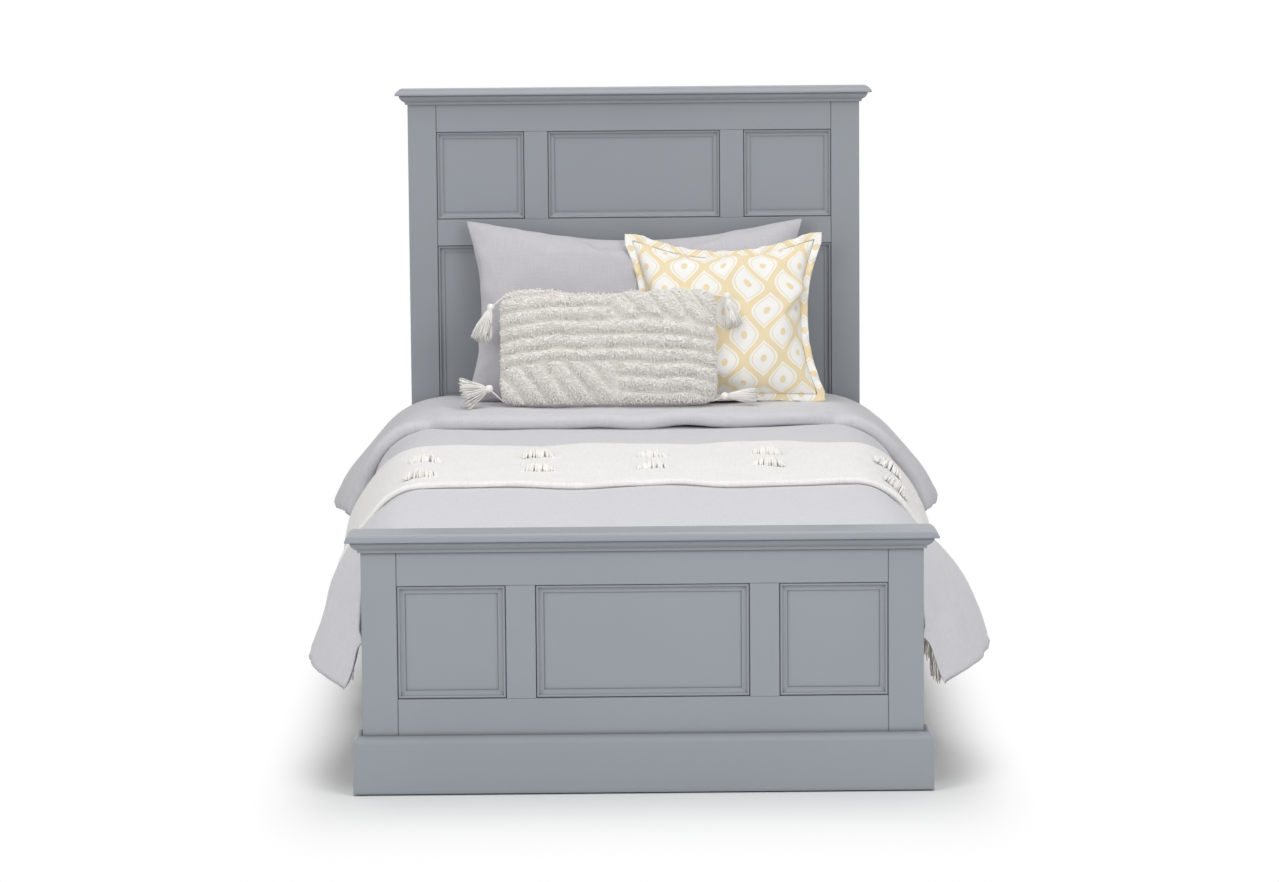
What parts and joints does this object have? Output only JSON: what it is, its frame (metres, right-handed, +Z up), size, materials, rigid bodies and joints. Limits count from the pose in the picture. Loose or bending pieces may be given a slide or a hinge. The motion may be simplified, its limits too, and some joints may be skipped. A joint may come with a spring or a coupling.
{
  "type": "panel bed",
  "caption": "Painted single panel bed: framed and moulded headboard and low footboard under overhanging caps, plinth, slatted base, mattress and loose bedding.",
  "frame": {"origin": "on the floor, under the middle of the bed's overall length and width", "axes": "+X to the right seen from the foot, +Y from foot to head, +Z up"},
  "size_m": [1.358, 2.064, 1.1955],
  "materials": {
    "painted_wood": "satin",
    "bare_pine": "matte",
    "webbing": "matte",
    "zinc_steel": "satin",
    "glide_plastic": "matte",
    "mattress_ticking": "matte",
    "lilac_cotton": "matte",
    "cream_throw": "matte",
    "grey_cotton": "matte",
    "printed_cotton": "matte",
    "woven_cream": "matte"
  },
  "bodies": {
    "bed_frame": {"floor_glides": "glide_plastic", "footboard_bead_centre": "painted_wood", "footboard_bead_left": "painted_wood", "footboard_bead_right": "painted_wood", "footboard_bottom_rail": "painted_wood", "footboard_cap": "painted_wood", "footboard_crown": "painted_wood", "footboard_muntin_left": "painted_wood", "footboard_muntin_right": "painted_wood", "footboard_panel_centre": "painted_wood", "footboard_panel_left": "painted_wood", "footboard_panel_right": "painted_wood", "footboard_post_left": "painted_wood", "footboard_post_right": "painted_wood", "footboard_top_rail": "painted_wood", "half_moon_washers": "zinc_steel", "hanger_bolts": "zinc_steel", "headboard_bottom_rail": "painted_wood", "headboard_cap": "painted_wood", "headboard_crown": "painted_wood", "headboard_lower_bead_centre": "painted_wood", "headboard_lower_bead_left": "painted_wood", "headboard_lower_bead_right": "painted_wood", "headboard_lower_muntin_left": "painted_wood", "headboard_lower_muntin_right": "painted_wood", "headboard_lower_panel_centre": "painted_wood", "headboard_lower_panel_left": "painted_wood", "headboard_lower_panel_right": "painted_wood", "headboard_middle_rail": "painted_wood", "headboard_post_left": "painted_wood", "headboard_post_right": "painted_wood", "headboard_top_rail": "painted_wood", "headboard_upper_bead_centre": "painted_wood", "headboard_upper_bead_left": "painted_wood", "headboard_upper_bead_right": "painted_wood", "headboard_upper_muntin_left": "painted_wood", "headboard_upper_muntin_right": "painted_wood", "headboard_upper_panel_centre": "painted_wood", "headboard_upper_panel_left": "painted_wood", "headboard_upper_panel_right": "painted_wood", "plinth_front": "painted_wood", "plinth_return_left": "painted_wood", "plinth_return_right": "painted_wood", "rail_nuts": "zinc_steel", "side_rail_left": "painted_wood", "side_rail_right": "painted_wood", "slat_ledge_left": "painted_wood", "slat_ledge_right": "painted_wood", "slat_straps": "webbing", "slats": "bare_pine"},
    "mattress": {"mattress": "mattress_ticking"},
    "duvet": {"duvet": "lilac_cotton"},
    "throw": {"throw": "cream_throw"},
    "pillow": {"pillow": "grey_cotton"},
    "square_cushion": {"square_cushion": "printed_cotton"},
    "lumbar_cushion": {"lumbar_cushion": "woven_cream", "lumbar_tassels": "woven_cream"}
  },
  "joints": [
    {"name": "mattress_lift", "type": "slide", "parent": "bed_frame", "child": "mattress", "axis": [0, 0, 1], "range_m": [0, 0.3]},
    {"name": "duvet_lift", "type": "slide", "parent": "mattress", "child": "duvet", "axis": [0, 0, 1], "range_m": [0, 0.32]},
    {"name": "throw_lift", "type": "slide", "parent": "duvet", "child": "throw", "axis": [0, 0, 1], "range_m": [0, 0.44]},
    {"name": "pillow_lift", "type": "slide", "parent": "duvet", "child": "pillow", "axis": [0, 0, 1], "range_m": [0, 0.45]},
    {"name": "square_cushion_lift", "type": "slide", "parent": "pillow", "child": "square_cushion", "axis": [0, 0, 1], "range_m": [0, 0.42]},
    {"name": "lumbar_cushion_lift", "type": "slide", "parent": "square_cushion", "child": "lumbar_cushion", "axis": [0, 0, 1], "range_m": [0, 0.4]}
  ]
}
